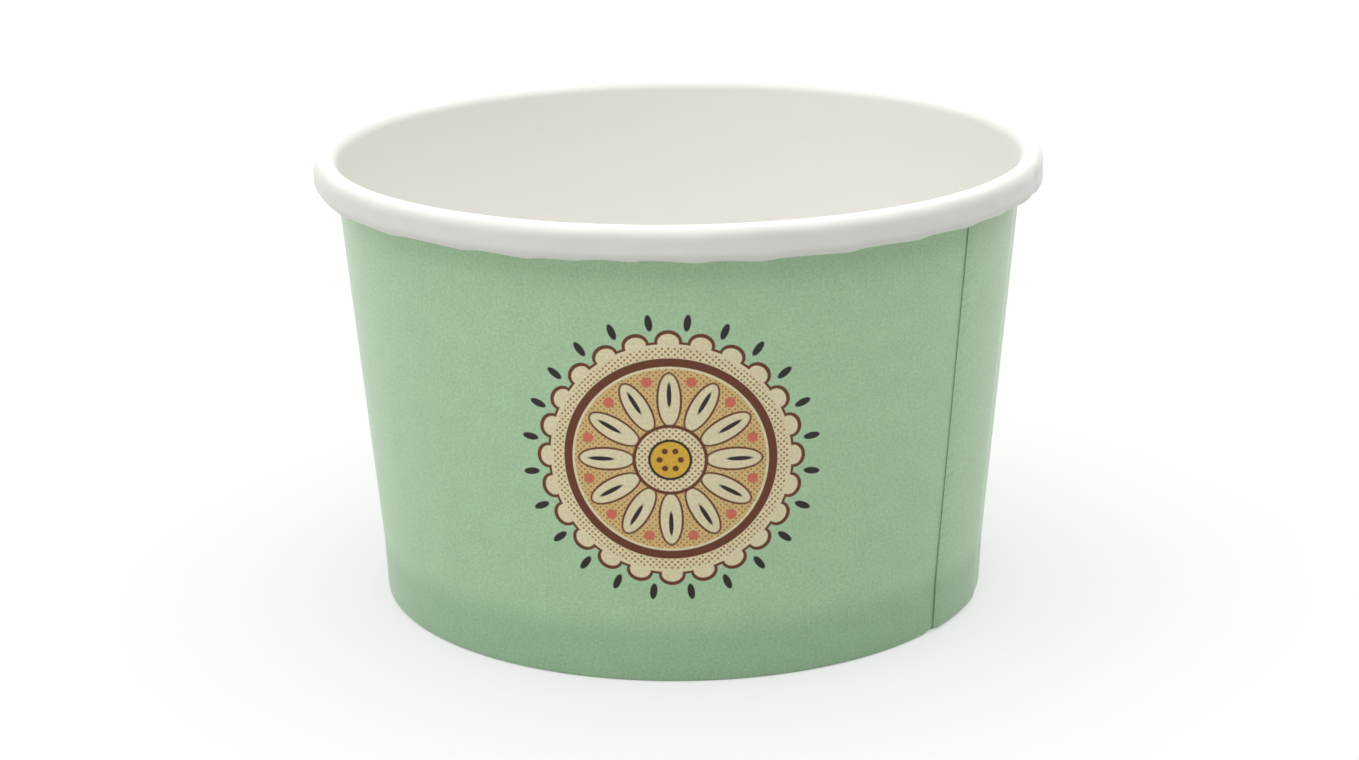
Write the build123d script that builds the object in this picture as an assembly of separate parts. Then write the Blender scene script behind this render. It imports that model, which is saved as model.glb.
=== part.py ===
from build123d import *
from math import asin, atan2, cos, degrees, hypot, radians, sin, sqrt, tan
import os

# Paper ice cream cup of about 180 ml, made as it is on a cup machine from two pieces of board:
# a wrapped side wall with a lapped side seam, a rolled rim and a folded foot,
# and a base disc whose turned-down skirt the foot clamps against the wall.
# Millimetres, +Z up. The origin is on the cup's axis, in the plane that it stands on.
# The printed front faces -Y.

# Overall sizes
rim_diameter = 90.0
base_diameter = 76.0
cup_height = 56.0

# Boards
wall_board = 0.35
disc_board = 0.30

# Rolled rim
roll_width = 2.95
roll_height = 4.0
roll_clearance = 0.05
roll_tail = 1.0

# Foot: the band that is pressed round the base disc, and the edge folded up inside it
floor_height = 6.3
band_above_floor = 0.7
band_taper = 2.8
crease_radius = 6.0
fold_radius = 0.05
hem_below_disc = 0.6

# Side seam: angles run from the front towards +X, lengths of arc in degrees
seam_angle = 52.3
lap_angle = 18.0
joggle_angle = 4.0

# Base disc
disc_bend_radius = 0.15
skirt_clearance = 0.03
skirt_lift = 0.12

# Places that follow from these sizes
front = -90.0
double_board = 2 * wall_board
band_top = floor_height + band_above_floor
rim_radius = rim_diameter / 2
roll_radius = roll_width / 2
foot_gap = disc_board + 2 * skirt_clearance


def rightward(heading):
    """Unit step to the right of a heading. Headings are degrees from +R towards +Z."""
    return sin(radians(heading)), -cos(radians(heading))


def shifted(point, direction, distance):
    return point[0] + direction[0] * distance, point[1] + direction[1] * distance


def walk(start, heading, moves):
    """Spans of a path in the R-Z plane, each as its start, middle and end with their headings.

    A move is (length, 0) for a straight run or (radius, turn) for a bend, left turns positive.
    """
    spans = []
    point = start
    for size, turn in moves:
        if turn == 0:
            ahead = rightward(heading + 90)
            stops = [(shifted(point, ahead, size * share), heading) for share in (0, 0.5, 1)]
        else:
            reach = size if turn > 0 else -size
            centre = shifted(point, rightward(heading), -reach)
            headings = [heading + turn * share for share in (0, 0.5, 1)]
            stops = [(shifted(centre, rightward(h), reach), h) for h in headings]
        spans.append(stops)
        point, heading = stops[-1]
    return spans


def face_edges(spans, depth):
    """Edges of the face that lies `depth` to the right of the path."""
    edges = []
    for stops in spans:
        places = [shifted(point, rightward(heading), depth) for point, heading in stops]
        first, middle, last = [(r, 0, z) for r, z in places]
        straight = stops[0][1] == stops[-1][1]
        edges.append(Line(first, last) if straight else ThreePointArc(first, middle, last))
    return edges


def sheet_section(spans, near_depth, far_depth):
    """Section of a sheet between two faces that lie to the right of its path."""
    near = face_edges(spans, near_depth)
    far = face_edges(spans, far_depth)
    ends = [Line(near[0] @ 0, far[0] @ 0), Line(near[-1] @ 1, far[-1] @ 1)]
    return make_face(near + far + ends)


def band_radius(height):
    """Radius of the band's inner face, which the skirt of the base disc follows."""
    taper = radians(band_taper)
    return base_diameter / 2 - wall_board / cos(taper) + height * tan(taper)


def wall_path(foot_depth):
    """Path of the nominal inner face, from the hem's cut edge up to the curled edge of the rim.

    `foot_depth` is how far the printed face lies from the path, so that the foot stands at Z = 0.
    """
    taper = radians(band_taper)
    upright = 90 - band_taper

    # Hem, which runs down beside the skirt, and the two folds under the skirt's edge
    hem_top = floor_height - disc_board - hem_below_disc
    fold_height = foot_depth + fold_radius
    hem_start = (band_radius(hem_top) - foot_gap / cos(taper), hem_top)
    hem_run = (hem_top - fold_height) / cos(taper) - fold_radius * tan(taper)
    flat_run = (foot_gap - 2 * fold_radius) / cos(taper)
    band_run = (band_top - fold_height) / cos(taper) + fold_radius * tan(taper)

    # Wall, which leaves the crease on the line that just touches the rim's roll
    roll_centre = (rim_radius - roll_radius, cup_height - roll_radius)
    out = roll_centre[0] - band_radius(band_top)
    up = roll_centre[1] - band_top
    reach = hypot(out, up)
    wall_heading = degrees(atan2(up, out) + asin(roll_radius / reach))
    wall_run = sqrt(reach**2 - roll_radius**2)
    crease_turn = upright - wall_heading
    crease_share = crease_radius * tan(radians(crease_turn / 2))

    # Rolled rim: over the top, down the outside, and back up beside the doubled wall
    wall_face = roll_centre[0] - roll_radius * sin(radians(wall_heading))
    tail_face = wall_face + double_board / sin(radians(wall_heading)) + roll_clearance
    curl_radius = (rim_radius - tail_face) / 2
    outside_run = roll_height - roll_radius - curl_radius

    moves = [
        (hem_run, 0),
        (fold_radius, 90 + band_taper),
        (flat_run, 0),
        (fold_radius, upright),
        (band_run - crease_share, 0),
        (crease_radius, -crease_turn),
        (wall_run - crease_share, 0),
        (roll_radius, -(wall_heading + 90)),
        (outside_run, 0),
        (curl_radius, -180),
        (roll_tail, 0),
    ]
    return walk(hem_start, -90 - band_taper, moves)


def wall_section(near_depth, far_depth):
    return sheet_section(wall_path(far_depth), near_depth, far_depth)


def swept(section, start_angle, arc):
    """A section turned about the cup's axis, from an angle measured from the front."""
    return revolve(section.rotate(Axis.Z, front + start_angle), Axis.Z, arc)


def make_side_wall():
    """One wrapped blank: a single layer, the lap where its ends cross, and the joggle beside it.

    The outer end's cut edge stands proud at the seam. The inner end's cut edge shows inside the
    cup and on the roll, and past it the outer layer slopes back to the single layer's place.
    """
    single = wall_section(0, wall_board)
    double = wall_section(0, double_board)
    outer_layer = wall_section(wall_board, double_board)

    lap_end = seam_angle + lap_angle
    joggle_end = lap_end + joggle_angle
    lap = swept(double, seam_angle, lap_angle)
    wrap = swept(single, joggle_end, 360 - lap_angle - joggle_angle)
    joggle_faces = [
        outer_layer.rotate(Axis.Z, front + lap_end),
        single.rotate(Axis.Z, front + joggle_end),
    ]
    joggle = loft(joggle_faces, ruled=True)
    return wrap + lap + joggle


def make_base_disc():
    """Flat disc with its edge turned down as a skirt between the wall's band and the hem."""
    taper = radians(band_taper)
    turn_radius = disc_bend_radius + disc_board
    skirt_foot = double_board + skirt_lift
    skirt_start = (band_radius(skirt_foot) - skirt_clearance / cos(taper), skirt_foot)
    bend_height = floor_height - turn_radius * (1 + sin(taper))
    skirt_run = (bend_height - skirt_foot) / cos(taper)
    skirt_top = skirt_start[0] + skirt_run * sin(taper)
    moves = [
        (skirt_run, 0),
        (turn_radius, 90 + band_taper),
        (skirt_top - turn_radius * cos(taper), 0),
    ]
    section = sheet_section(walk(skirt_start, 90 - band_taper, moves), 0, -disc_board)
    return revolve(section, Axis.Z)


def write_node(name, shape):
    shape.label = name
    export_step(shape, os.path.join("parts", name + ".step"))
    print(name, "volume", round(shape.volume, 1), "mm3")


os.makedirs("parts", exist_ok=True)
write_node("side_wall", make_side_wall())
write_node("base_disc", make_base_disc())
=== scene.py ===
import random
from math import asin, atan2, cos, degrees, hypot, pi, radians, sin, sqrt, tan

import bpy
from mathutils import Matrix, Vector


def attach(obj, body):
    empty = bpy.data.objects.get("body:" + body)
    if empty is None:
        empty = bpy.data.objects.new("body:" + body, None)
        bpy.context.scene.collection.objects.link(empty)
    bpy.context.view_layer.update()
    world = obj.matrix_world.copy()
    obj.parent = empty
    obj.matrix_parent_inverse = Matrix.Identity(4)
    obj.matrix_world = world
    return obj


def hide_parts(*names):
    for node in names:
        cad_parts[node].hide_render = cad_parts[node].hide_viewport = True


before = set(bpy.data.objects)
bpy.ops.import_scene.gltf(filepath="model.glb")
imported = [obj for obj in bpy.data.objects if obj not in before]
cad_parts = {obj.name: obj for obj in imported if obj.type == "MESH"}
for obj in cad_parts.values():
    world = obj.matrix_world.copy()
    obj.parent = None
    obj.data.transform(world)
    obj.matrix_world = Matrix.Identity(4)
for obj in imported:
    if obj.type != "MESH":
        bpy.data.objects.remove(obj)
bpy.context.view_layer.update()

# Paper ice cream cup: the wrapped side wall with its printed and coated faces, and the base disc.
# Metres. Angles round the cup are measured from the printed front (-Y) towards +X.

MM = 0.001

# Cup and boards
RIM_RADIUS = 45.0 * MM
BASE_RADIUS = 38.0 * MM
CUP_HEIGHT = 56.0 * MM
WALL_BOARD = 0.35 * MM
DISC_BOARD = 0.30 * MM

# Rolled rim
ROLL_RADIUS = 1.475 * MM
ROLL_HEIGHT = 4.0 * MM
ROLL_CLEARANCE = 0.05 * MM
ROLL_TAIL = 1.0 * MM

# Foot: the band that is pressed round the base disc, and the hem folded up inside it
FLOOR_HEIGHT = 6.3 * MM
BAND_TOP = 7.0 * MM
BAND_TAPER = radians(2.8)
CREASE_RADIUS = 6.0 * MM
FOLD_RADIUS = 0.05 * MM
HEM_BELOW_DISC = 0.6 * MM

# Base disc: its skirt and bend, the shallow ring pressed into it and its slack middle
SKIRT_CLEARANCE = 0.03 * MM
SKIRT_LIFT = 0.12 * MM
DISC_BEND = 0.15 * MM
RING_RADIUS = 34.0 * MM
RING_REACH = 1.6 * MM
RING_DEPTH = 0.10 * MM
SLACK_RADIUS = 33 * MM
SLACK_DEPTH = 0.18 * MM
DISC_STEPS = 240

# Side seam, in degrees: its visible edge, the lap, and the slopes back to a single layer
SEAM_ANGLE = 52.3
LAP_ANGLE = 18.0
JOGGLE_ANGLE = 4.0
UNDERLAP_ANGLE = 2.5
FIRST_ANGLE, LAST_ANGLE = SEAM_ANGLE - 360, SEAM_ANGLE + LAP_ANGLE
LAYER_GAP = 0.01 * MM
WALL_COLUMNS = 421

# The seam's cut edges are pressed thin, by a share of the board, over so many degrees
EDGE_PRESS = 0.6
EDGE_PRESS_ANGLE = 1.4

# The flap stands a little off the layer below, between two heights and over so many degrees
FLAP_LIFT = 0.05 * MM
FLAP_LIFT_ANGLE = 2.2
FOOT_LIFT_START = 0.3 * MM
FOOT_LIFT_SLOPE = 1.0 * MM
FOOT_LIFT_END = 13.0 * MM
FOOT_LIFT_FADE = 7.0 * MM

# Shallow flats along the roll, with how often they come round the cup and along the section
FLATS_DEPTH = 0.22 * MM
FLATS_ROUND = 8
FLATS_ALONG = 160

# One dent that crosses the roll at a slant, in degrees and degrees to the millimetre
DENT_ANGLE = 76
DENT_SLANT = 2.2
DENT_WIDTH = 2.6
DENT_DEPTH = 0.22 * MM

# Finishes of the wall's faces, by number
COATED, PRINTED, FLAP_EDGE, CUT_EDGE = range(4)


def srgb(red, green, blue):
    """Linear colour, with alpha, of an 8-bit screen colour."""
    channels = [c / 255 for c in (red, green, blue)]
    return [c / 12.92 if c <= 0.04045 else ((c + 0.055) / 1.055) ** 2.4 for c in channels] + [1.0]


# Node wiring

class Wire:
    """A number that runs through a node tree. Arithmetic on it adds the node that does the sum."""

    def __init__(self, tree, socket):
        self.tree = tree
        self.socket = socket

    def math(self, operation, *others):
        node = self.tree.nodes.new("ShaderNodeMath")
        node.operation = operation
        for slot, value in zip(node.inputs, (self,) + others):
            feed(self.tree, slot, value)
        return Wire(self.tree, node.outputs[0])

    def __add__(self, other):
        return self.math("ADD", other)

    def __sub__(self, other):
        return self.math("SUBTRACT", other)

    def __mul__(self, other):
        return self.math("MULTIPLY", other)

    def __truediv__(self, other):
        return self.math("DIVIDE", other)

    __radd__ = __add__
    __rmul__ = __mul__

    def __rsub__(self, other):
        return self * -1 + other

    def __rtruediv__(self, other):
        return self.math("POWER", -1.0) * other

    def sin(self):
        return self.math("SINE")

    def cos(self):
        return self.math("COSINE")

    def abs(self):
        return self.math("ABSOLUTE")

    def sqrt(self):
        return self.math("SQRT")

    def floor(self):
        return self.math("FLOOR")

    def least(self, other):
        return self.math("MINIMUM", other)

    def most(self, other):
        return self.math("MAXIMUM", other)

    def below(self, other):
        return self.math("LESS_THAN", other)

    def above(self, other):
        return self.math("GREATER_THAN", other)

    def matches(self, number):
        """1 where the wire carries this whole number."""
        return (self - number).abs().below(0.5)

    def ramp(self, start, end, smooth=False):
        """0 up to start, 1 from end on, and a slope between them."""
        node = self.tree.nodes.new("ShaderNodeMapRange")
        node.interpolation_type = "SMOOTHSTEP" if smooth else "LINEAR"
        node.clamp = True
        feed(self.tree, node.inputs["Value"], self)
        feed(self.tree, node.inputs["From Min"], start)
        feed(self.tree, node.inputs["From Max"], end)
        return Wire(self.tree, node.outputs["Result"])


def feed(tree, slot, value):
    """Gives a socket a link or a constant."""
    if isinstance(value, Wire):
        value = value.socket
    if isinstance(value, bpy.types.NodeSocket):
        tree.links.new(value, slot)
    elif value is not None:
        slot.default_value = value


def place(tree, kind, settings=None, **inputs):
    """Adds a node, with settings on it and values or links on its inputs by name."""
    node = tree.nodes.new(kind)
    for name, value in (settings or {}).items():
        setattr(node, name, value)
    for name, value in inputs.items():
        feed(tree, node.inputs[name.replace("_", " ")], value)
    return node


def group_with(kind, name, inputs, outputs):
    """A node group with named sockets, each given as name: (type, default)."""
    tree = bpy.data.node_groups.new(name, kind)
    for direction, sockets in (("INPUT", inputs), ("OUTPUT", outputs)):
        for label, (socket_type, default) in sockets.items():
            item = tree.interface.new_socket(label, in_out=direction, socket_type=socket_type)
            if default is not None:
                item.default_value = default
    return tree, tree.nodes.new("NodeGroupInput"), tree.nodes.new("NodeGroupOutput")


def scaled(tree, vector, factor):
    """A vector or colour times one factor."""
    node = place(tree, "ShaderNodeVectorMath", {"operation": "SCALE"}, Scale=factor)
    feed(tree, node.inputs[0], vector)
    return node.outputs[0]


def multiplied(tree, vector, other):
    """A vector or colour times another, channel by channel."""
    node = place(tree, "ShaderNodeVectorMath", {"operation": "MULTIPLY"})
    feed(tree, node.inputs[0], vector)
    feed(tree, node.inputs[1], other)
    return node.outputs[0]


def channels_of(tree, vector):
    """The three channels of a vector, each as a wire."""
    split = place(tree, "ShaderNodeSeparateXYZ", Vector=vector)
    return [Wire(tree, split.outputs[name]) for name in ("X", "Y", "Z")]


# Section of the board

def rightward(heading):
    """Unit step to the right of a heading, which is measured from outward towards up."""
    return sin(heading), -cos(heading)


def walk(start, heading, moves):
    """Stations along a path in the radius-height plane: (radius, height, right of the path, run).

    A move is (length, 0, parts) for a straight run or (radius, turn, parts) for a bend.
    """
    (r, z), run = start, 0.0
    stations = [(r, z, rightward(heading), run)]
    for size, turn, parts in moves:
        if turn == 0:
            out, up = rightward(heading + pi / 2)
            for part in range(1, parts + 1):
                step = size * part / parts
                stations.append((r + out * step, z + up * step, rightward(heading), run + step))
            run += size
        else:
            side = rightward(heading)
            reach = size if turn > 0 else -size
            centre_r, centre_z = r - side[0] * reach, z - side[1] * reach
            for part in range(1, parts + 1):
                now = rightward(heading + turn * part / parts)
                place_r, place_z = centre_r + now[0] * reach, centre_z + now[1] * reach
                stations.append((place_r, place_z, now, run + size * abs(turn) * part / parts))
            heading += turn
            run += size * abs(turn)
        r, z = stations[-1][:2]
    return stations


def band_radius(height):
    """Inner radius of the band that is pressed round the base disc."""
    return BASE_RADIUS - WALL_BOARD / cos(BAND_TAPER) + height * tan(BAND_TAPER)


def wall_stations(foot_depth):
    """The board's inner face, from the hem's cut edge round the foot and up to the curled edge.

    `foot_depth` is the thickness of board between this face and the floor, under the foot.
    """
    # Hem, which runs down beside the disc's skirt, and the two folds under the skirt's edge
    foot_gap = DISC_BOARD + 2 * SKIRT_CLEARANCE
    upright = pi / 2 - BAND_TAPER
    hem_top = FLOOR_HEIGHT - DISC_BOARD - HEM_BELOW_DISC
    fold_height = foot_depth + FOLD_RADIUS
    hem_start = (band_radius(hem_top) - foot_gap / cos(BAND_TAPER), hem_top)
    hem_run = (hem_top - fold_height) / cos(BAND_TAPER) - FOLD_RADIUS * tan(BAND_TAPER)
    flat_run = (foot_gap - 2 * FOLD_RADIUS) / cos(BAND_TAPER)
    band_run = (BAND_TOP - fold_height) / cos(BAND_TAPER) + FOLD_RADIUS * tan(BAND_TAPER)

    # Wall, on the line that just touches the roll
    centre_r, centre_z = RIM_RADIUS - ROLL_RADIUS, CUP_HEIGHT - ROLL_RADIUS
    out, up = centre_r - band_radius(BAND_TOP), centre_z - BAND_TOP
    reach = hypot(out, up)
    wall_heading = atan2(up, out) + asin(ROLL_RADIUS / reach)
    wall_run = sqrt(reach**2 - ROLL_RADIUS**2)
    crease_turn = upright - wall_heading
    crease_share = CREASE_RADIUS * tan(crease_turn / 2)

    # Rolled rim: over the top, down the outside, and back up beside the doubled wall
    wall_face = centre_r - ROLL_RADIUS * sin(wall_heading)
    tail_face = wall_face + 2 * WALL_BOARD / sin(wall_heading) + ROLL_CLEARANCE
    curl_radius = (RIM_RADIUS - tail_face) / 2
    outside_run = ROLL_HEIGHT - ROLL_RADIUS - curl_radius
    moves = [
        (hem_run, 0, 3),
        (FOLD_RADIUS, pi / 2 + BAND_TAPER, 4),
        (flat_run, 0, 1),
        (FOLD_RADIUS, upright, 5),
        (band_run - crease_share, 0, 4),
        (CREASE_RADIUS, -crease_turn, 3),
        (wall_run - crease_share, 0, 14),
        (ROLL_RADIUS, -(wall_heading + pi / 2), 20),
        (outside_run, 0, 4),
        (curl_radius, -pi, 14),
        (ROLL_TAIL, 0, 2),
    ]
    return walk(hem_start, -pi / 2 - BAND_TAPER, moves)


# The wrapped wall

# Places round the roll where its lower edge comes to a small point, in degrees, and how far that
# point hangs below the mean line, in millimetres
FRONT_KINKS = [
    (-77, 0.05), (-62, 0.24), (-47, 0.16), (-32.7, 0.18), (-22.4, 0.30), (-14.8, 0.14), (-6.8, 0.08),
    (2.7, 0.26), (12.2, 0.34), (25.6, 0.24), (37.5, 0.14), (48.7, 0.16), (57, 0.08), (66, 0.22),
    (70.5, 0.28), (75, 0.38), (79.5, 0.42), (84, 0.38), (88.5, 0.30), (94, 0.16),
]

# Past these, the rest of the circle gets made-up kinks of the same kind
KINK_SEED = 11
KINK_SPACING = (8, 13)
KINK_HANG = (0.02, 0.24)
KINK_LAST_GAP = 20

# Between two kinks the edge rises by the relief, in millimetres, where they are far enough apart
KINK_REACH = 0.5
KINK_RELIEF = 0.24
KINK_STEP_ANGLE = 1.6
KINK_SMOOTH_SPACING = 5.6
KINK_FULL_SPACING = 8.0


def kink_curve():
    """The roll's lower edge round the whole rim, as points of a curve that runs 0 to 1 both ways."""
    draw = random.Random(KINK_SEED)
    kinks = list(FRONT_KINKS)
    first = kinks[0][0]
    while kinks[-1][0] < first + 360 - KINK_LAST_GAP:
        kinks.append((kinks[-1][0] + draw.uniform(*KINK_SPACING), draw.uniform(*KINK_HANG)))
    kinks.append((first + 360, kinks[0][1]))
    line = [(first, kinks[0][1])]
    for (angle, hang), (next_angle, next_hang) in zip(kinks, kinks[1:]):
        spread = (next_angle - angle - KINK_SMOOTH_SPACING) / (KINK_FULL_SPACING - KINK_SMOOTH_SPACING)
        relief = KINK_RELIEF * min(1, max(0, spread))
        line.append((angle + KINK_STEP_ANGLE, hang - relief))
        line.append(((angle + next_angle) / 2, (hang + next_hang) / 2 - relief))
        line.append((next_angle, next_hang))
    return [((angle - first) / 360, 0.5 + 0.5 * hang / KINK_REACH) for angle, hang in line]


def board_mesh():
    """Loose stations that the sweep reads: the single layer's place, and its place in the lap."""
    single = wall_stations(WALL_BOARD)
    lapped = wall_stations(2 * WALL_BOARD + LAYER_GAP)
    mesh = bpy.data.meshes.new("wall_section")
    mesh.from_pydata([(r, 0, z) for r, z, side, run in single], [], [])
    fields = {"single_place": [], "lapped_place": [], "single_side": [], "lapped_side": []}
    for (r, z, side, run), (lap_r, lap_z, lap_side, lap_run) in zip(single, lapped):
        fields["single_place"] += (r, 0, z)
        fields["lapped_place"] += (lap_r, 0, lap_z)
        fields["single_side"] += (side[0], 0, side[1])
        fields["lapped_side"] += (lap_side[0], 0, lap_side[1])
    for name, values in fields.items():
        mesh.attributes.new(name, "FLOAT_VECTOR", "POINT").data.foreach_set("vector", values)

    # How much of the edge's hang, the roll's flats and the flap's lift shows at each station
    hang, lift, roll, runs = [], [], [], []
    for r, z, side, run in single:
        low = (CUP_HEIGHT - ROLL_RADIUS - z) / (ROLL_HEIGHT - ROLL_RADIUS)
        on_roll = r > RIM_RADIUS - 1.6 * ROLL_RADIUS and z > CUP_HEIGHT - ROLL_HEIGHT - 0.1 * MM
        hang.append(min(1, max(0, low)) ** 2 if on_roll else 0)
        height = (z - (CUP_HEIGHT - ROLL_HEIGHT)) / ROLL_HEIGHT
        roll.append(max(0, 4 * height * (1 - height)) ** 0.5 if on_roll and height < 1 else 0)
        rise = min(1, max(0, (z - FOOT_LIFT_START) / FOOT_LIFT_SLOPE))
        fall = min(1, max(0, (FOOT_LIFT_END - z) / FOOT_LIFT_FADE))
        lift.append(min(rise, fall) if r > BASE_RADIUS - WALL_BOARD - LAYER_GAP else 0)
        runs.append(run)
    for name, values in (("hang", hang), ("lift", lift), ("roll", roll), ("run", runs)):
        mesh.attributes.new(name, "FLOAT", "POINT").data.foreach_set("value", values)
    return mesh, len(single)


def named(tree, name, data_type="FLOAT"):
    node = place(tree, "GeometryNodeInputNamedAttribute", {"data_type": data_type}, Name=name)
    return node.outputs["Attribute"]


def store(tree, geometry, name, value, domain="POINT"):
    settings = {"data_type": "FLOAT", "domain": domain}
    node = place(tree, "GeometryNodeStoreNamedAttribute", settings, Geometry=geometry, Name=name)
    feed(tree, node.inputs["Value"], value)
    return node.outputs["Geometry"]


def wrapping_tree():
    """Sweeps a board's section round the cup as one blank whose ends lap, with closed cut edges.

    Where the blank's ends lap, the end that starts the sweep lies outside, one board proud, and runs
    back in over the joggle. Each face carries the number of its finish.
    """
    tree, enter, leave = group_with("GeometryNodeTree", "Wrapped board", {
        "Section": ("NodeSocketGeometry", None),
        "Stations": ("NodeSocketInt", 2),
        "Columns": ("NodeSocketInt", 8),
        "First Angle": ("NodeSocketFloat", 0.0),
        "Last Angle": ("NodeSocketFloat", 6.0),
        "Lap": ("NodeSocketFloat", 0.3),
        "Joggle": ("NodeSocketFloat", 0.07),
        "Underlap": ("NodeSocketFloat", 0.05),
        "Board": ("NodeSocketFloat", 0.00035),
        "Layer Step": ("NodeSocketFloat", 0.00036),
        "Edge Press": ("NodeSocketFloat", 0.0),
        "Edge Press Angle": ("NodeSocketFloat", 0.03),
        "Flap Lift": ("NodeSocketFloat", 0.0),
        "Flap Lift Angle": ("NodeSocketFloat", 0.04),
        "Rim Hang": ("NodeSocketFloat", 0.0003),
        "Rim Wobble": ("NodeSocketFloat", 0.0001),
        "Dent Angle": ("NodeSocketFloat", 1.3),
        "Dent Run": ("NodeSocketFloat", 0.06),
        "Dent Slant": ("NodeSocketFloat", 30.0),
        "Dent Width": ("NodeSocketFloat", 0.03),
        "Dent Depth": ("NodeSocketFloat", 0.0001),
        "Coated Face": ("NodeSocketMaterial", None),
        "Printed Face": ("NodeSocketMaterial", None),
        "Flap Edge": ("NodeSocketMaterial", None),
        "Cut Edge": ("NodeSocketMaterial", None),
    }, {"Board": ("NodeSocketGeometry", None)})

    def given(name):
        return Wire(tree, enter.outputs[name])

    def stored(name):
        return Wire(tree, named(tree, name))

    count = given("Stations")
    columns = given("Columns")
    index = Wire(tree, place(tree, "GeometryNodeInputIndex").outputs[0])

    def sheet(across, along):
        sizes = dict(Size_X=1.0, Size_Y=1.0, Vertices_X=across, Vertices_Y=along)
        return place(tree, "GeometryNodeMeshGrid", **sizes).outputs["Mesh"]

    def described(mesh, station, far, column, finish):
        for name, value in (("station", station), ("far", far), ("column", column)):
            mesh = store(tree, mesh, name, value)
        return store(tree, mesh, "finish", finish, "FACE")

    # Both faces and the two long cut edges are one closed strip of rows: up the coated face, across
    # the curled edge, down the printed face and across the hem's edge to the first row again
    rows = count * 2 + 1
    column = (index / rows).floor()
    row = index - column * rows
    back = row.above(count - 0.5) * row.below(count * 2 - 0.5)
    closing = row.above(count * 2 - 0.5)
    station = (row * (1 - back) + (count * 2 - 1 - row) * back) * (1 - closing)
    face_rows = rows - 1
    face_row = index - (index / face_rows).floor() * face_rows
    printed = face_row.above(count - 0.5)
    long_edge = face_row.matches(count - 1).most(face_row.matches(count * 2 - 1))
    finish = printed * (1 - long_edge) + long_edge * CUT_EDGE
    faces = described(sheet(columns, rows), station, back, column, finish)

    # The blank's two short cut edges
    side = (index / count).floor()
    edge_station = index - side * count
    first_edge = described(sheet(2, count), edge_station, side, 0.0, FLAP_EDGE)
    first_edge = place(tree, "GeometryNodeFlipFaces", Mesh=first_edge).outputs["Mesh"]
    last_edge = described(sheet(2, count), edge_station, side, columns - 1, CUT_EDGE)
    joined = place(tree, "GeometryNodeJoinGeometry")
    for part in (faces, first_edge, last_edge):
        tree.links.new(part, joined.inputs["Geometry"])

    # Where a column stands on the blank, and whether it is in the outer or the inner layer of the lap
    share = stored("column") / (columns - 1)
    angle = given("First Angle") + share * (given("Last Angle") - given("First Angle"))
    from_first = angle - given("First Angle")
    to_last = given("Last Angle") - angle
    outer = 1 - from_first.ramp(given("Lap"), given("Lap") + given("Joggle"))
    under = 1 - to_last.ramp(given("Lap"), given("Lap") + given("Underlap"))
    lapped = outer.most(under)

    def read(name, data_type="FLOAT_VECTOR"):
        node = place(tree, "GeometryNodeSampleIndex", {"data_type": data_type, "domain": "POINT"})
        tree.links.new(enter.outputs["Section"], node.inputs["Geometry"])
        tree.links.new(named(tree, name, data_type), node.inputs["Value"])
        tree.links.new(named(tree, "station"), node.inputs["Index"])
        return node.outputs["Value"]

    def at_station(name):
        return Wire(tree, read(name, "FLOAT"))

    def blended(name):
        node = place(tree, "ShaderNodeMix", {"data_type": "VECTOR"})
        feed(tree, node.inputs["Factor"], lapped)
        tree.links.new(read("single_" + name), node.inputs[4])
        tree.links.new(read("lapped_" + name), node.inputs[5])
        out, across, up = channels_of(tree, node.outputs[1])
        return out, up

    spot_r, spot_z = blended("place")
    side_r, side_z = blended("side")

    # The board's two faces, pressed together at the cut edges and lifted along the flap
    lifted = (1 - from_first.ramp(0.0, given("Flap Lift Angle"))) * given("Flap Lift")
    pressed = (1 - from_first.least(to_last).ramp(0.0, given("Edge Press Angle"))) * given("Edge Press")
    far_depth = stored("far") * given("Board") * (1 - pressed)
    depth = outer * given("Layer Step") + far_depth + lifted * at_station("lift")

    # The roll's lower edge hangs unevenly between its kinks
    turn = (angle - radians(FRONT_KINKS[0][0])) / (2 * pi)
    curve = place(tree, "ShaderNodeFloatCurve", Value=turn - turn.floor())
    line = curve.mapping.curves[0]
    first_point, *middle_points, last_point = kink_curve()
    for point in middle_points:
        line.points.new(*point)
    line.points[0].location = first_point
    line.points[-1].location = last_point
    for point in line.points:
        point.handle_type = "VECTOR"
    curve.mapping.update()
    hang = (Wire(tree, curve.outputs[0]) - 0.5) * 2 * given("Rim Hang") * at_station("hang")

    # Rolling leaves shallow flats along the roll, which only press inwards
    circle = place(tree, "ShaderNodeCombineXYZ", X=angle.sin() * FLATS_ROUND,
                   Y=angle.cos() * FLATS_ROUND, Z=at_station("run") * FLATS_ALONG)
    flats = place(tree, "ShaderNodeTexNoise", Vector=circle.outputs[0], Scale=1.0, Detail=2.0)
    flatness = Wire(tree, flats.outputs[0]).ramp(0.3, 0.75)
    pressed_in = flatness * given("Rim Wobble") * at_station("roll")

    # One dent crosses the roll at a slant
    along_roll = at_station("run") - given("Dent Run")
    full_angle = angle + (1 - angle.above(0.0)) * (2 * pi)
    from_dent = (full_angle - given("Dent Angle") + along_roll * given("Dent Slant")).abs()
    dent = 1 - from_dent.ramp(0.0, given("Dent Width"), smooth=True)
    pressed_in = pressed_in + dent * given("Dent Depth") * at_station("roll")

    r = spot_r + side_r * depth - pressed_in
    z = spot_z + side_z * depth - hang
    position = place(tree, "ShaderNodeCombineXYZ", X=r * angle.sin(), Y=r * angle.cos() * -1, Z=z)
    shaped = place(tree, "GeometryNodeSetPosition", Geometry=joined.outputs["Geometry"],
                   Position=position.outputs["Vector"]).outputs["Geometry"]
    shaped = store(tree, shaped, "angle", angle)
    shaped = store(tree, shaped, "run", read("run", "FLOAT"))

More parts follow.
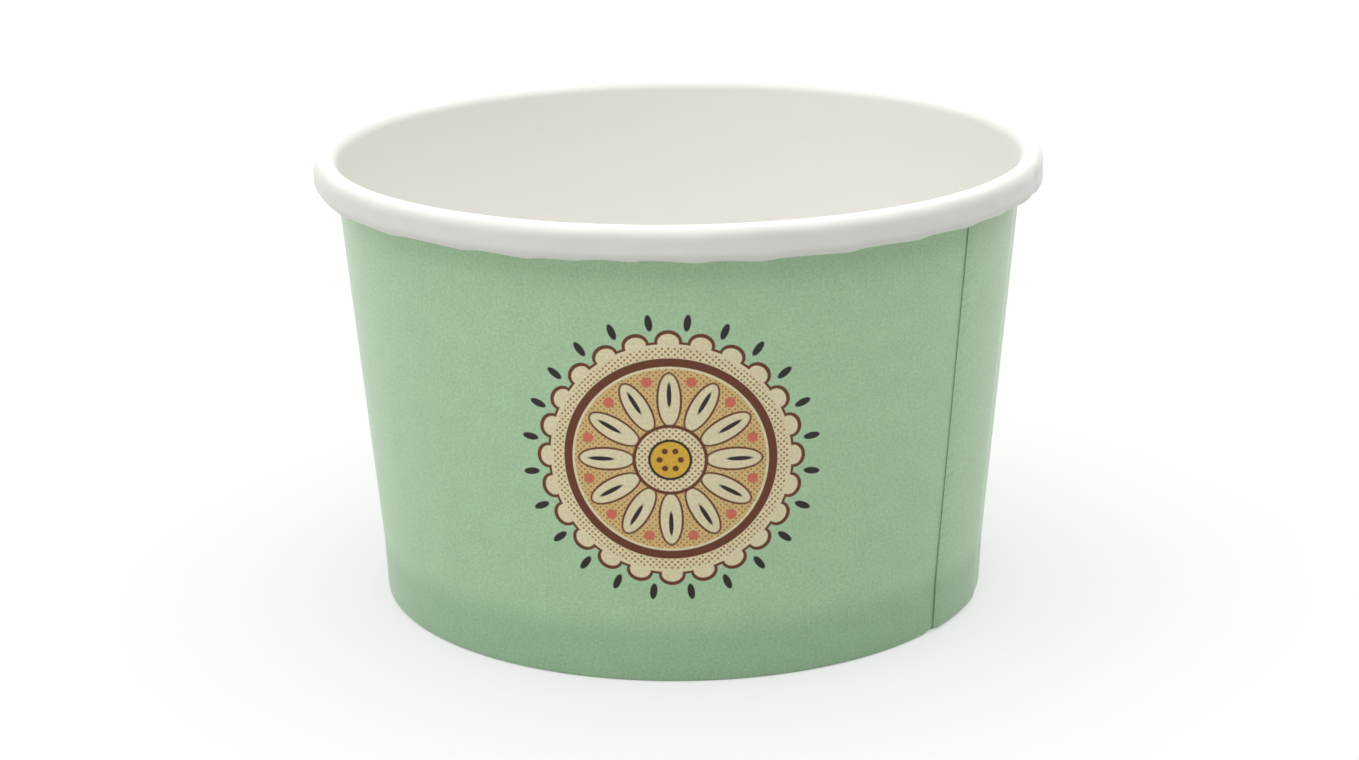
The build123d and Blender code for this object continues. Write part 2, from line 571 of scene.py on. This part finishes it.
    # Corners that coincide are joined, and folds sharper than 0.9 radians are left crisp
    closed = place(tree, "GeometryNodeMergeByDistance", Geometry=shaped, Distance=1e-7)
    closed = closed.outputs["Geometry"]
    smooth = place(tree, "GeometryNodeSetShadeSmooth", Geometry=closed).outputs["Geometry"]
    fold = place(tree, "GeometryNodeInputMeshEdgeAngle").outputs["Unsigned Angle"]
    crisp = place(tree, "GeometryNodeSetShadeSmooth", {"domain": "EDGE"}, Geometry=smooth,
                  Selection=Wire(tree, fold).above(0.9), Shade_Smooth=False).outputs["Geometry"]
    finished = place(tree, "GeometryNodeRealizeInstances", Geometry=crisp).outputs["Geometry"]
    for number, label in enumerate(("Coated Face", "Printed Face", "Flap Edge", "Cut Edge")):
        chosen = stored("finish").matches(number)
        node = place(tree, "GeometryNodeSetMaterial", Geometry=finished, Selection=chosen)
        tree.links.new(enter.outputs[label], node.inputs["Material"])
        finished = node.outputs["Geometry"]
    tree.links.new(finished, leave.inputs["Board"])
    return tree


def run_tree(name, mesh, tree, values):
    """Puts a mesh through a node tree and returns the result as a plain object of that name."""
    source = bpy.data.objects.new(name + "_source", mesh)
    bpy.context.collection.objects.link(source)
    modifier = source.modifiers.new("Shape", "NODES")
    modifier.node_group = tree
    inputs = [item for item in tree.interface.items_tree if item.in_out == "INPUT"]
    sockets = {item.name: item.identifier for item in inputs}
    for label, value in values.items():
        modifier[sockets[label]] = value
    depsgraph = bpy.context.evaluated_depsgraph_get()
    result = bpy.data.meshes.new_from_object(source.evaluated_get(depsgraph), depsgraph=depsgraph)
    source.modifiers.remove(modifier)
    bpy.data.objects.remove(source)
    result.name = name
    if result.materials[0] is None:
        result.materials.pop(index=0)
    piece = bpy.data.objects.new(name, result)
    bpy.context.collection.objects.link(piece)
    return piece


# Developed plan of the board: a flat cone, on which the print and the paper's grain lie undistorted
WALL_LEAN = radians(4.8)
PRINT_ANGLE = -2.0
PRINT_HEIGHT = 28.0


def plan_of(angle, radius, run):
    """Place on the blank in millimetres: along it from the front, and up it from the hem's edge."""
    reach = radius / sin(WALL_LEAN)
    swing = (angle - radians(PRINT_ANGLE)) * sin(WALL_LEAN)
    return reach * sin(swing) / MM, (run + reach * (1 - cos(swing))) / MM


def height_on_plan(height):
    """How far up the blank a height of the wall lies, in millimetres."""
    r, z, side, run = next(station for station in wall_stations(WALL_BOARD) if station[1] > height)
    return (run - (z - height) / cos(WALL_LEAN)) / MM


def values_of(mesh, name):
    return [item.value for item in mesh.attributes[name].data]


def add_plan(piece):
    mesh = piece.data
    angles, runs = values_of(mesh, "angle"), values_of(mesh, "run")
    places = [plan_of(a, hypot(v.co.x, v.co.y), run) for a, run, v in zip(angles, runs, mesh.vertices)]
    layer = mesh.uv_layers.new(name="Plan")
    for loop in mesh.loops:
        layer.uv[loop.index].vector = places[loop.vertex_index]


# Map that the wall's finish can be baked to: a square of so many texels, on which the printed front
# gets the finest ones
BAKE_SIZE = 1024
FRONT_START = -52.1

# Stations of the wall's section at which the foot's folds end and the roll starts
FOOT_STATION, ROLL_STATION = 13, 34


class BakeRegion:
    """A part of the board and its rectangle on the map: (left, low, right, high) in texels."""

    def __init__(self, rectangle, across, up, turned=False):
        self.rectangle, self.across, self.up, self.turned = rectangle, across, up, turned

    def spot(self, x, y):
        left, low, right, high = [side / BAKE_SIZE for side in self.rectangle]
        x = (x - self.across[0]) / (self.across[1] - self.across[0])
        y = (y - self.up[0]) / (self.up[1] - self.up[0])
        if self.turned:
            x, y = 1 - y, x
        return left + x * (right - left), low + y * (high - low)


def bake_regions():
    """Each part of the board with its place on the map, and the runs where wall and roll start."""
    runs = [station[3] for station in wall_stations(WALL_BOARD)]
    foot, roll, end = runs[FOOT_STATION], runs[ROLL_STATION], runs[-1]
    wall, turn, turn_back = (foot, roll), (FIRST_ANGLE, LAST_ANGLE), (LAST_ANGLE, FIRST_ANGLE)
    along, sides = (0, end), (0, 1)
    return {
        "front": BakeRegion((4, 4, 790, 572), (FRONT_START, SEAM_ANGLE), wall),
        "back": BakeRegion((800, 4, 1020, 690), (FIRST_ANGLE, FRONT_START), wall, turned=True),
        "underlap": BakeRegion((800, 696, 1020, 740), (SEAM_ANGLE, LAST_ANGLE), wall, turned=True),
        "inside": BakeRegion((4, 580, 790, 740), turn_back, wall),
        "roll": BakeRegion((4, 748, 1020, 818), turn_back, (roll, end)),
        "roll_inside": BakeRegion((4, 824, 1020, 848), turn, (roll, end)),
        "foot": BakeRegion((4, 854, 1020, 894), turn, (0, foot)),
        "foot_inside": BakeRegion((4, 900, 1020, 932), turn_back, (0, foot)),
        "flap_edge": BakeRegion((4, 938, 1020, 950), along, sides),
        "inner_edge": BakeRegion((4, 956, 1020, 968), along, sides),
        "hem_edge": BakeRegion((4, 974, 1020, 986), turn, sides),
        "tail_edge": BakeRegion((4, 992, 1020, 1004), turn, sides),
    }, foot, roll


def region_name(finish, angle, run, foot, roll):
    """The part of the board that a face belongs to, from its finish and its place on the blank."""
    if finish == FLAP_EDGE:
        return "flap_edge"
    if finish == CUT_EDGE and angle > LAST_ANGLE - 0.01:
        return "inner_edge"
    if finish == CUT_EDGE:
        return "hem_edge" if run < foot else "tail_edge"
    if run < foot:
        return "foot" if finish == PRINTED else "foot_inside"
    if run > roll:
        return "roll_inside" if finish == PRINTED else "roll"
    if finish == COATED:
        return "inside"
    if angle > SEAM_ANGLE:
        return "underlap"
    return "front" if angle > FRONT_START else "back"


def add_bake_map(piece):
    mesh = piece.data
    angles = [degrees(value) for value in values_of(mesh, "angle")]
    runs, fars = values_of(mesh, "run"), values_of(mesh, "far")
    finishes = [round(value) for value in values_of(mesh, "finish")]
    regions, foot, roll = bake_regions()
    layer = mesh.uv_layers.new(name="OFBake")
    for face, finish in zip(mesh.polygons, finishes):
        angle = sum(angles[v] for v in face.vertices) / len(face.vertices)
        run = sum(runs[v] for v in face.vertices) / len(face.vertices)
        name = region_name(finish, angle, run, foot, roll)
        for loop in face.loop_indices:
            v = mesh.loops[loop].vertex_index
            across = runs[v] if name in ("flap_edge", "inner_edge") else angles[v]
            up = fars[v] if name.endswith("_edge") else runs[v]
            layer.uv[loop].vector = regions[name].spot(across, up)


# The base disc

def disc_stations():
    """The disc's upper face, from the skirt's edge up its outside, round the bend and inwards."""
    turn_radius = DISC_BEND + DISC_BOARD
    skirt_foot = 2 * WALL_BOARD + SKIRT_LIFT
    start = (band_radius(skirt_foot) - SKIRT_CLEARANCE / cos(BAND_TAPER), skirt_foot)
    bend_height = FLOOR_HEIGHT - turn_radius * (1 + sin(BAND_TAPER))
    skirt_run = (bend_height - skirt_foot) / cos(BAND_TAPER)
    skirt_top = start[0] + skirt_run * sin(BAND_TAPER)
    moves = [
        (skirt_run, 0, 4),
        (turn_radius, pi / 2 + BAND_TAPER, 8),
        (skirt_top - turn_radius * cos(BAND_TAPER), 0, 34),
    ]
    return walk(start, pi / 2 - BAND_TAPER, moves)


def disc_dish(radius):
    """How far the disc's flat lies below its edge: a shallow pressed ring and a slack middle."""
    ring = max(0.0, 1 - abs(radius - RING_RADIUS) / RING_REACH)
    slack = max(0.0, 1 - (radius / SLACK_RADIUS) ** 2)
    return RING_DEPTH * ring * ring * (3 - 2 * ring) + SLACK_DEPTH * slack


def make_base_disc(coated, raw):
    """One disc of board with its edge turned down, built in rings from the skirt's edge inwards.

    The rings run in along the coated upper face and out again along the raw under face.
    """
    steps = DISC_STEPS
    outer = disc_stations()
    rings = []
    for r, z, side, run in outer[:-1]:
        rings.append((r, z - disc_dish(r), 0))
    for r, z, side, run in reversed(outer[:-1]):
        inner_r, inner_z = r - side[0] * DISC_BOARD, z - side[1] * DISC_BOARD
        rings.append((inner_r, inner_z - disc_dish(r), 1))
    vertices, faces, finishes = [], [], []
    for r, z, finish in rings:
        for step in range(steps):
            angle = 2 * pi * step / steps
            vertices.append((r * sin(angle), -r * cos(angle), z))
    count = len(rings)
    half = count // 2
    for ring in range(count):
        following = (ring + 1) % count
        if ring == half - 1:
            continue
        for step in range(steps):
            ahead = (step + 1) % steps
            faces.append((ring * steps + step, ring * steps + ahead,
                          following * steps + ahead, following * steps + step))
            finishes.append(rings[ring][2])

    # The two faces close in a fan of triangles round their middle
    top, bottom = len(vertices), len(vertices) + 1
    vertices.append((0, 0, outer[-1][1] - disc_dish(0)))
    vertices.append((0, 0, outer[-1][1] - DISC_BOARD - disc_dish(0)))
    for step in range(steps):
        ahead = (step + 1) % steps
        faces.append(((half - 1) * steps + step, (half - 1) * steps + ahead, top))
        finishes.append(0)
        faces.append((half * steps + ahead, half * steps + step, bottom))
        finishes.append(1)
    mesh = bpy.data.meshes.new("base_disc_board")
    mesh.from_pydata(vertices, [], faces)
    mesh.materials.append(coated)
    mesh.materials.append(raw)
    for polygon, finish in zip(mesh.polygons, finishes):
        polygon.use_smooth = True
        polygon.material_index = finish
    mesh.set_sharp_from_angle(angle=0.9)
    piece = bpy.data.objects.new("base_disc_board", mesh)
    bpy.context.collection.objects.link(piece)
    return piece


# Finishes

# Board colours and inks
GREEN = srgb(190, 226, 184)
COATED_WHITE = srgb(245, 244, 239)
DISC_WHITE = srgb(231, 229, 222)
RAW_WHITE = srgb(228, 222, 210)
# The seam's cut edge: a dark green that is painted shade along the seam's step
SEAM_EDGE_SHADE = srgb(150, 176, 142)
CREAM = srgb(250, 238, 198)
TAN = srgb(236, 203, 138)
HALFTONE = srgb(180, 134, 68)
BROWN = srgb(110, 54, 22)
DARK = srgb(26, 17, 9)
PINK = srgb(228, 122, 96)
YELLOW = srgb(242, 194, 64)

# Painted shade on the foot's band: how much of the ink's red, green and blue it takes away, and the
# height in millimetres over which that fades, to each side of the band's top
BAND_PAINTED_SHADE = (0.20, 0.155, 0.16)
BAND_FADE = 2

# Paper grain: weights in the tone of the fine grain, the fibres and the broad clouds, the clouds'
# scale beside the fine grain's, and the fibres' stretch and weight in the relief
FINE_TONE = 2.6
FIBRE_TONE = 1.2
BROAD_TONE = 0.45
BROAD_SCALE = 0.09
FIBRE_STRETCH = (3.2, 0.55, 1.0)
FIBRE_RELIEF = 1.4

# Print: spacing of the printer's dots and softness of the outlines, in millimetres, and half the
# range of levels over which a dot's edge fades
DOT_PITCH = 0.5
OUTLINE_SOFTNESS = 0.04
DOT_SOFTNESS = 0.25


def grain_group():
    """Paper grain: a mottle of the colour, short fibres along the board and small pits."""
    tree, enter, leave = group_with("ShaderNodeTree", "Paper grain", {
        "Place": ("NodeSocketVector", None),
        "Colour": ("NodeSocketColor", None),
        "Mottle": ("NodeSocketFloat", 0.04),
        "Mottle Size": ("NodeSocketFloat", 0.4),
        "Fibre": ("NodeSocketFloat", 0.5),
    }, {
        "Colour": ("NodeSocketColor", None),
        "Height": ("NodeSocketFloat", None),
        "Polish": ("NodeSocketFloat", None),
    })
    size = Wire(tree, enter.outputs["Mottle Size"])
    spot = enter.outputs["Place"]

    def noise(at, **settings):
        node = place(tree, "ShaderNodeTexNoise", Vector=at, **settings)
        return Wire(tree, node.outputs["Fac"]) - 0.5

    fine = noise(spot, Scale=1 / size, Detail=3.0, Roughness=0.8)
    broad = noise(spot, Scale=BROAD_SCALE / size, Detail=2.0)
    fibre = noise(multiplied(tree, spot, FIBRE_STRETCH), Scale=1.0, Detail=4.0, Roughness=0.7)
    fibre = fibre * Wire(tree, enter.outputs["Fibre"])
    tone = fine * FINE_TONE + fibre * FIBRE_TONE + broad * BROAD_TONE
    tone = 1 + tone * Wire(tree, enter.outputs["Mottle"]) * 2
    feed(tree, leave.inputs["Colour"], scaled(tree, enter.outputs["Colour"], tone))
    feed(tree, leave.inputs["Height"], fine + fibre * FIBRE_RELIEF)
    feed(tree, leave.inputs["Polish"], fine * 0.5 + broad * 0.5)
    return tree


def halftone_group():
    """Printer's dots: 1 inside a dot, on a lattice turned by 45 degrees."""
    tree, enter, leave = group_with("ShaderNodeTree", "Printer's dots", {
        "Along": ("NodeSocketFloat", 0.0),
        "Up": ("NodeSocketFloat", 0.0),
        "Pitch": ("NodeSocketFloat", 0.55),
        "Cover": ("NodeSocketFloat", 0.3),
    }, {"Dot": ("NodeSocketFloat", None)})
    along, up = Wire(tree, enter.outputs["Along"]), Wire(tree, enter.outputs["Up"])
    per_unit = sqrt(0.5) * 2 * pi / Wire(tree, enter.outputs["Pitch"])
    waves = ((along + up) * per_unit).cos() + ((along - up) * per_unit).cos()
    level = 2 - Wire(tree, enter.outputs["Cover"]) * 4
    feed(tree, leave.inputs["Dot"], waves.ramp(level - DOT_SOFTNESS, level + DOT_SOFTNESS))
    return tree


def medallion_group(dots):
    """Round ornament of petals, rings and dots, drawn on the board's plan in millimetres."""
    tree, enter, leave = group_with("ShaderNodeTree", "Printed medallion", {
        "Board Colour": ("NodeSocketColor", None),
        "Along": ("NodeSocketFloat", 0.0),
        "Up": ("NodeSocketFloat", 0.0),
    }, {"Colour": ("NodeSocketColor", None)})
    along, up = Wire(tree, enter.outputs["Along"]), Wire(tree, enter.outputs["Up"])
    radius = (along * along + up * up).sqrt()
    angle = up.math("ARCTAN2", along)

    def inside(distance):
        """1 where a distance to an outline is negative."""
        return 1 - distance.ramp(-OUTLINE_SOFTNESS, OUTLINE_SOFTNESS)

    def circle(size):
        return inside(radius - size)

    def ovals(count, turned, centre, half_length, half_width):
        """Equal ovals round the middle, pointing outwards. `turned` is in shares of their spacing."""
        spacing = 2 * pi / count
        turns = angle / spacing + turned + 0.5
        local = (turns - turns.floor() - 0.5) * spacing
        x = (radius * local.cos() - centre) / half_length
        y = radius * local.sin() / half_width
        return inside(((x * x + y * y).sqrt() - 1) * min(half_length, half_width))

    def ring(inner, outer):
        return inside((radius - (inner + outer) / 2).abs() - (outer - inner) / 2)

    def halftone(cover):
        values = dict(Along=along, Up=up, Pitch=DOT_PITCH, Cover=cover)
        node = place(tree, "ShaderNodeGroup", {"node_tree": dots}, **values)
        return Wire(tree, node.outputs["Dot"])

    # Inks in the order in which they are printed, each with the shape that it fills
    shade = halftone((radius / 11.5).least(1.0) * 0.22 + 0.06)
    deep = halftone(0.3)
    layers = [
        (DARK, ovals(24, 0.5, 16.6, 1.0, 0.42)),
        (BROWN, circle(14.3).most(ovals(24, 0, 14.3, 1.35, 1.55))),
        (CREAM, circle(14.0).most(ovals(24, 0, 14.2, 1.0, 1.2))),
        (HALFTONE, ring(12.4, 13.6) * deep),
        (BROWN, ring(11.3, 12.3)),
        (TAN, circle(11.0)),
        (HALFTONE, circle(11.0) * shade),
        (BROWN, ovals(12, 0, 7.3, 3.35, 1.45)),
        (CREAM, ovals(12, 0, 7.3, 3.1, 1.2)),
        (DARK, ovals(12, 0, 7.9, 1.5, 0.26)),
        (PINK, ovals(12, 0.5, 9.7, 0.62, 0.62)),
        (BROWN, circle(4.3)),
        (CREAM, circle(3.9)),
        (HALFTONE, circle(3.9) * deep),
        (DARK, circle(2.5)),
        (YELLOW, circle(2.2)),
        (BROWN, ovals(6, 0, 1.2, 0.35, 0.35)),
    ]
    colour = enter.outputs["Board Colour"]
    for paint, mask in layers:
        mix = place(tree, "ShaderNodeMix", {"data_type": "RGBA"})
        feed(tree, mix.inputs["Factor"], mask)
        tree.links.new(colour, mix.inputs[6])
        mix.inputs[7].default_value = paint
        colour = mix.outputs[2]
    tree.links.new(colour, leave.inputs["Colour"])
    return tree


def new_material(name):
    material = bpy.data.materials.new(name)
    material.use_nodes = True
    tree = material.node_tree
    tree.nodes.clear()
    return material, tree, tree.nodes.new("ShaderNodeOutputMaterial")


def board_material(name):
    material, tree, output = new_material(name)
    shader = tree.nodes.new("ShaderNodeBsdfPrincipled")
    tree.links.new(shader.outputs[0], output.inputs["Surface"])
    return material, tree, shader


def grained(tree, shader, grain, spot, colour, mottle, mottle_size, fibre, roughness, swing, relief):
    """Wires the paper grain into a shader's colour, roughness and normal.

    `swing` is how far the roughness goes up and down, and `relief` the height of pits and fibres.
    """
    values = dict(Place=spot, Colour=colour, Mottle=mottle, Mottle_Size=mottle_size, Fibre=fibre)
    node = place(tree, "ShaderNodeGroup", {"node_tree": grain}, **values)
    feed(tree, shader.inputs["Base Color"], node.outputs["Colour"])
    feed(tree, shader.inputs["Roughness"], Wire(tree, node.outputs["Polish"]) * swing + roughness)
    bump = place(tree, "ShaderNodeBump", Height=node.outputs["Height"], Distance=relief, Strength=1.0)
    feed(tree, shader.inputs["Normal"], bump.outputs["Normal"])


def object_place(tree):
    """Object coordinates in millimetres."""
    return scaled(tree, place(tree, "ShaderNodeTexCoord").outputs["Object"], 1 / MM)


def printed_face(grain, medallion):
    material, tree, shader = board_material("green_print")
    spot = place(tree, "ShaderNodeUVMap", {"uv_map": "Plan"}).outputs["UV"]
    along, up, flat = channels_of(tree, spot)
    values = dict(Board_Colour=GREEN, Along=along, Up=up - height_on_plan(PRINT_HEIGHT * MM))
    print_node = place(tree, "ShaderNodeGroup", {"node_tree": medallion}, **values)

    # Painted shade on the foot's band makes the print there a little darker and cooler
    x, y, height = channels_of(tree, object_place(tree))
    band_shade = 1 - height.ramp(BAND_TOP / MM - BAND_FADE, BAND_TOP / MM + BAND_FADE, smooth=True)
    red, green, blue = [1 - band_shade * share for share in BAND_PAINTED_SHADE]
    tone = place(tree, "ShaderNodeCombineXYZ", X=red, Y=green, Z=blue)
    band_shaded_print = multiplied(tree, print_node.outputs["Colour"], tone.outputs[0])
    grained(tree, shader, grain, spot, band_shaded_print, mottle=0.14, mottle_size=0.34, fibre=0.5,
            roughness=0.34, swing=0.2, relief=0.025 * MM)
    shader.inputs["Specular IOR Level"].default_value = 0.25
    shader.inputs["Coat Weight"].default_value = 0.25
    shader.inputs["Coat Roughness"].default_value = 0.3
    return material


def coated_face(grain, name, colour):
    material, tree, shader = board_material(name)
    grained(tree, shader, grain, object_place(tree), colour, mottle=0.008, mottle_size=0.5,
            fibre=0.3, roughness=0.42, swing=0.15, relief=0.006 * MM)
    return material


def bare_face(grain):
    material, tree, shader = board_material("bare_board")
    grained(tree, shader, grain, object_place(tree), RAW_WHITE, mottle=0.03, mottle_size=0.3,
            fibre=1.0, roughness=0.85, swing=0.1, relief=0.02 * MM)
    return material


def flap_edge(grain):
    """The seam's cut edge, in a dark green that is painted shade along the seam's step."""
    material, tree, shader = board_material("shaded_seam_edge")
    grained(tree, shader, grain, object_place(tree), SEAM_EDGE_SHADE, mottle=0.06, mottle_size=0.15,
            fibre=1.0, roughness=0.9, swing=0.05, relief=0.02 * MM)
    return material


# The cup

grain = grain_group()
section, station_count = board_mesh()
roll_middle_run = max(s for s in wall_stations(WALL_BOARD) if s[1] > CUP_HEIGHT - ROLL_RADIUS)[3]
coated = coated_face(grain, "white_coated_board", COATED_WHITE)
printed = printed_face(grain, medallion_group(halftone_group()))
bare = bare_face(grain)
side_wall = run_tree("side_wall_board", section, wrapping_tree(), {
    "Stations": station_count,
    "Columns": WALL_COLUMNS,
    "First Angle": radians(FIRST_ANGLE),
    "Last Angle": radians(LAST_ANGLE),
    "Lap": radians(LAP_ANGLE),
    "Joggle": radians(JOGGLE_ANGLE),
    "Underlap": radians(UNDERLAP_ANGLE),
    "Board": WALL_BOARD,
    "Layer Step": WALL_BOARD + LAYER_GAP,
    "Edge Press": EDGE_PRESS,
    "Edge Press Angle": radians(EDGE_PRESS_ANGLE),
    "Flap Lift": FLAP_LIFT,
    "Flap Lift Angle": radians(FLAP_LIFT_ANGLE),
    "Rim Hang": KINK_REACH * MM,
    "Rim Wobble": FLATS_DEPTH,
    "Dent Angle": radians(DENT_ANGLE),
    "Dent Run": roll_middle_run,
    "Dent Slant": radians(DENT_SLANT) / MM,
    "Dent Width": radians(DENT_WIDTH),
    "Dent Depth": DENT_DEPTH,
    "Coated Face": coated,
    "Printed Face": printed,
    "Flap Edge": flap_edge(grain),
    "Cut Edge": bare,
})
add_plan(side_wall)
add_bake_map(side_wall)
base_disc = make_base_disc(coated_face(grain, "white_disc_board", DISC_WHITE), bare)

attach(side_wall, "root")
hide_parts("side_wall")
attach(base_disc, "root")
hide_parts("base_disc")


# Studio

WHITE = (1, 1, 1, 1)

# What the camera sees of the floor fades to white between two distances from the cup, in metres
FLOOR_REACH = 4.0
FLOOR_STEPS = 64
FLOOR_FADE_START = 0.10
FLOOR_FADE_END = 0.45
FLOOR_GREY = (0.5, 0.5, 0.5, 1)
FLOOR_GLOW = 0.45
FLOOR_FAR_GLOW = 0.55
FLOOR_BOUNCE = (0.5, 0.5, 0.49, 1)
FLOOR_BOUNCE_GLOW = 0.07

# Level of the world's fill light, and the lamps as name, place, width and power
WORLD_LEVEL = 0.03
LAMP_AIM = (0, 0, 0.03)
LAMPS = [
    ("overhead_soft_box", (0.0, 0.05, 0.8), 2.2, 19.8),
    ("left_soft_box", (-0.7, -0.3, 0.3), 0.6, 0.7),
    ("front_soft_box", (0.0, -0.7, 0.5), 0.6, 0.5),
]

# Camera: its distance and aim are in rim radii, and its focal length in pixels of the photograph
CAMERA_DISTANCE = 7.8539
CAMERA_PITCH = radians(16.6851)
CAMERA_ROLL = radians(-0.7399)
CAMERA_AIM = (-0.0052, 0, 0.5636)
FOCAL_PIXELS = 2782.73
PHOTO_WIDTH = 1359
SENSOR_WIDTH = 36.0


def shown_rays(tree):
    """1 for what the camera sees, directly, in a reflection or through something clear."""
    ray = place(tree, "ShaderNodeLightPath")
    shown = Wire(tree, ray.outputs["Is Camera Ray"])
    for kind in ("Is Glossy Ray", "Is Transmission Ray"):
        shown = shown.most(Wire(tree, ray.outputs[kind]))
    return shown


def mixed(tree, factor, first, second):
    """One shader where the factor is 0 and the other where it is 1."""
    node = place(tree, "ShaderNodeMixShader")
    for slot, value in zip(node.inputs, (factor, first, second)):
        feed(tree, slot, value)
    return node.outputs[0]


def glowing(tree, colour, strength):
    """A matt surface of a colour that also gives off white light."""
    matt = place(tree, "ShaderNodeBsdfDiffuse", Color=colour)
    glow = place(tree, "ShaderNodeEmission", Color=WHITE, Strength=strength)
    node = place(tree, "ShaderNodeAddShader")
    feed(tree, node.inputs[0], matt.outputs[0])
    feed(tree, node.inputs[1], glow.outputs[0])
    return node.outputs[0]


def make_floor():
    """Pale floor that shows white and keeps the cup's soft shadow. It is clear from below."""
    mesh = bpy.data.meshes.new("floor")
    turns = [2 * pi * step / FLOOR_STEPS for step in range(FLOOR_STEPS)]
    rim = [(FLOOR_REACH * cos(turn), FLOOR_REACH * sin(turn), 0) for turn in turns]
    mesh.from_pydata(rim, [], [tuple(range(FLOOR_STEPS))])
    material, tree, output = new_material("pale_floor")
    x, y, z = channels_of(tree, place(tree, "ShaderNodeTexCoord").outputs["Object"])
    far = (x * x + y * y).sqrt().ramp(FLOOR_FADE_START, FLOOR_FADE_END, smooth=True)
    seen = glowing(tree, FLOOR_GREY, far * FLOOR_FAR_GLOW + FLOOR_GLOW)
    lighting = glowing(tree, FLOOR_BOUNCE, FLOOR_BOUNCE_GLOW)
    top = mixed(tree, shown_rays(tree), lighting, seen)
    clear = place(tree, "ShaderNodeBsdfTransparent").outputs[0]
    backfacing = place(tree, "ShaderNodeNewGeometry").outputs["Backfacing"]
    feed(tree, output.inputs["Surface"], mixed(tree, backfacing, top, clear))
    mesh.materials.append(material)
    floor = bpy.data.objects.new("floor", mesh)
    bpy.context.collection.objects.link(floor)


def make_world():
    """White where the camera sees it, and a faint fill light for the rest."""
    world = bpy.data.worlds.new("studio")
    bpy.context.scene.world = world
    world.use_nodes = True
    tree = world.node_tree
    tree.nodes.clear()
    output = tree.nodes.new("ShaderNodeOutputWorld")
    white = place(tree, "ShaderNodeBackground", Color=WHITE, Strength=1.0)
    fill = place(tree, "ShaderNodeBackground", Color=WHITE, Strength=WORLD_LEVEL)
    mix = mixed(tree, shown_rays(tree), fill.outputs[0], white.outputs[0])
    feed(tree, output.inputs["Surface"], mix)


def soft_light(name, spot, width, power):
    """A round soft box at a spot, turned towards the cup."""
    lamp = bpy.data.lights.new(name, "AREA")
    lamp.shape = "DISK"
    lamp.size = width
    lamp.energy = power
    lamp_object = bpy.data.objects.new(name, lamp)
    lamp_object.location = spot
    towards = Vector(LAMP_AIM) - Vector(spot)
    lamp_object.rotation_euler = towards.to_track_quat("-Z", "Y").to_euler()
    bpy.context.collection.objects.link(lamp_object)


def make_camera():
    """The photograph's viewpoint, fitted to the outlines of the rim, the wall and the base."""
    distance = CAMERA_DISTANCE * RIM_RADIUS
    aim = Vector([part * RIM_RADIUS for part in CAMERA_AIM])
    ahead = Vector((0, cos(CAMERA_PITCH), -sin(CAMERA_PITCH)))
    level = Vector((1, 0, 0))
    above = level.cross(ahead)
    right = cos(CAMERA_ROLL) * level + sin(CAMERA_ROLL) * above
    up = cos(CAMERA_ROLL) * above - sin(CAMERA_ROLL) * level
    camera = bpy.data.cameras.new("camera")
    camera.sensor_fit = "HORIZONTAL"
    camera.sensor_width = SENSOR_WIDTH
    camera.lens = FOCAL_PIXELS / PHOTO_WIDTH * SENSOR_WIDTH
    camera.clip_start = 0.01
    camera_object = bpy.data.objects.new("camera", camera)
    turned = Matrix((right, up, -ahead)).transposed().to_4x4()
    camera_object.matrix_world = Matrix.Translation(aim - distance * ahead) @ turned
    bpy.context.collection.objects.link(camera_object)
    bpy.context.scene.camera = camera_object


make_floor()
make_world()
for lamp in LAMPS:
    soft_light(*lamp)
make_camera()
bpy.context.scene.view_settings.view_transform = "Standard"
